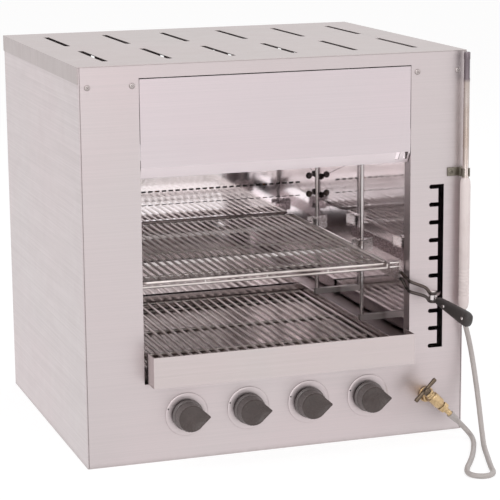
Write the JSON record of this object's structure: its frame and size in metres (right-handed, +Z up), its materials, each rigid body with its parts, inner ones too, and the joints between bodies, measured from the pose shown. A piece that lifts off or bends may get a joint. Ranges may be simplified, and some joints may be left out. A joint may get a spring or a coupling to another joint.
{
  "type": "gas salamander grill",
  "caption": "Countertop gas salamander grill: roof burners over a rack set to height by a lever in a notched slot, drip tray and lighting torch.",
  "frame": {"origin": "centre of the underside, on the table", "axes": "+X to the user's right, +Y from the front to the back, +Z up"},
  "size_m": [0.6105, 0.76, 0.59],
  "materials": {
    "casing_steel": "fine satin brushed stainless sheet",
    "cavity_steel": "bright polished stainless sheet",
    "burner_steel": "heat-dulled stainless sheet",
    "plaque_ceramic": "perforated ceramic",
    "pipe_copper": "dull copper tube",
    "tap_brass": "turned brass",
    "manifold_steel": "dull painted pipe",
    "bright_steel": "bright plated",
    "knob_plastic": "moulded, slightly glossy",
    "carriage_steel": "ground bar",
    "dark_steel": "heat-darkened",
    "rack_wire": "used plated wire",
    "grip_plastic": "moulded",
    "tray_steel": "satin stainless sheet",
    "torch_handle_plastic": "pale moulded",
    "hose_rubber": "pale rubber",
    "tap_handle_steel": "dark enamel, worn"
  },
  "bodies": {
    "casing": {"base_panel": "casing_steel", "left_side_panel": "casing_steel", "right_side_panel": "casing_steel", "rear_panel": "casing_steel", "top_cover": "casing_steel", "front_plate": "casing_steel", "hood_panel": "casing_steel", "cavity_left_wall": "cavity_steel", "cavity_right_wall": "cavity_steel", "cavity_back_wall": "cavity_steel", "cavity_roof": "cavity_steel", "cavity_floor": "cavity_steel", "burner_housing_1": "burner_steel", "burner_housing_2": "burner_steel", "burner_housing_3": "burner_steel", "burner_housing_4": "burner_steel", "burner_plaques": "plaque_ceramic", "injectors": "tap_brass", "burner_pipes": "pipe_copper", "gas_manifold": "manifold_steel", "gas_inlet": "tap_brass", "tap_body_1": "tap_brass", "tap_body_2": "tap_brass", "tap_body_3": "tap_brass", "tap_body_4": "tap_brass", "knob_bezels": "bright_steel", "front_guide_rod": "carriage_steel", "rear_guide_rod": "carriage_steel", "rod_brackets": "carriage_steel", "tray_runners": "tray_steel", "casing_screws": "bright_steel", "liner_screws": "dark_steel", "torch_tube": "bright_steel", "torch_handle": "torch_handle_plastic", "torch_hose": "hose_rubber", "torch_clip": "dark_steel", "torch_tap_body": "tap_brass"},
    "carriage": {"rack_carriage": "carriage_steel", "carriage_fork": "dark_steel", "lever_pin": "bright_steel", "upper_rack": "rack_wire"},
    "lever": {"lever_arm": "carriage_steel", "lever_grip": "grip_plastic"},
    "tray": {"drip_tray": "tray_steel", "lower_grid": "rack_wire"},
    "collar_1": {"tap_collar_1": "bright_steel"},
    "knob_1": {"tap_stem_1": "tap_brass", "knob_1": "knob_plastic"},
    "collar_2": {"tap_collar_2": "bright_steel"},
    "knob_2": {"tap_stem_2": "tap_brass", "knob_2": "knob_plastic"},
    "collar_3": {"tap_collar_3": "bright_steel"},
    "knob_3": {"tap_stem_3": "tap_brass", "knob_3": "knob_plastic"},
    "collar_4": {"tap_collar_4": "bright_steel"},
    "knob_4": {"tap_stem_4": "tap_brass", "knob_4": "knob_plastic"},
    "tap_handle": {"torch_tap_handle": "tap_handle_steel"}
  },
  "joints": [
    {"name": "rack_lift", "type": "slide", "parent": "casing", "child": "carriage", "axis": [0, 0, 1], "range_m": [-0.0825, 0.165]},
    {"name": "lever_swing", "type": "hinge", "parent": "carriage", "child": "lever", "pos_m": [0.238, -0.274, 0.22], "axis": [0, 0, 1], "range_deg": [0, 25]},
    {"name": "tray_slide", "type": "slide", "parent": "casing", "child": "tray", "axis": [0, -1, 0], "range_m": [0, 0.32]},
    {"name": "push_1", "type": "slide", "parent": "casing", "child": "collar_1", "axis": [0, 1, 0], "range_m": [0, 0.003], "stiffness_N_per_m": 900},
    {"name": "push_2", "type": "slide", "parent": "casing", "child": "collar_2", "axis": [0, 1, 0], "range_m": [0, 0.003], "stiffness_N_per_m": 900},
    {"name": "push_3", "type": "slide", "parent": "casing", "child": "collar_3", "axis": [0, 1, 0], "range_m": [0, 0.003], "stiffness_N_per_m": 900},
    {"name": "push_4", "type": "slide", "parent": "casing", "child": "collar_4", "axis": [0, 1, 0], "range_m": [0, 0.003], "stiffness_N_per_m": 900},
    {"name": "turn_1", "type": "hinge", "parent": "collar_1", "child": "knob_1", "pos_m": [-0.1465, -0.26, 0.069], "axis": [0, -1, 0], "range_deg": [0, 180]},
    {"name": "turn_2", "type": "hinge", "parent": "collar_2", "child": "knob_2", "pos_m": [-0.0505, -0.26, 0.069], "axis": [0, -1, 0], "range_deg": [0, 180]},
    {"name": "turn_3", "type": "hinge", "parent": "collar_3", "child": "knob_3", "pos_m": [0.0455, -0.26, 0.069], "axis": [0, -1, 0], "range_deg": [0, 180]},
    {"name": "turn_4", "type": "hinge", "parent": "collar_4", "child": "knob_4", "pos_m": [0.1415, -0.26, 0.069], "axis": [0, -1, 0], "range_deg": [0, 180]},
    {"name": "torch_tap_turn", "type": "hinge", "parent": "casing", "child": "tap_handle", "pos_m": [0.238, -0.29, 0.062], "axis": [-0.7071, 0, 0.7071], "range_deg": [0, 90]}
  ]
}
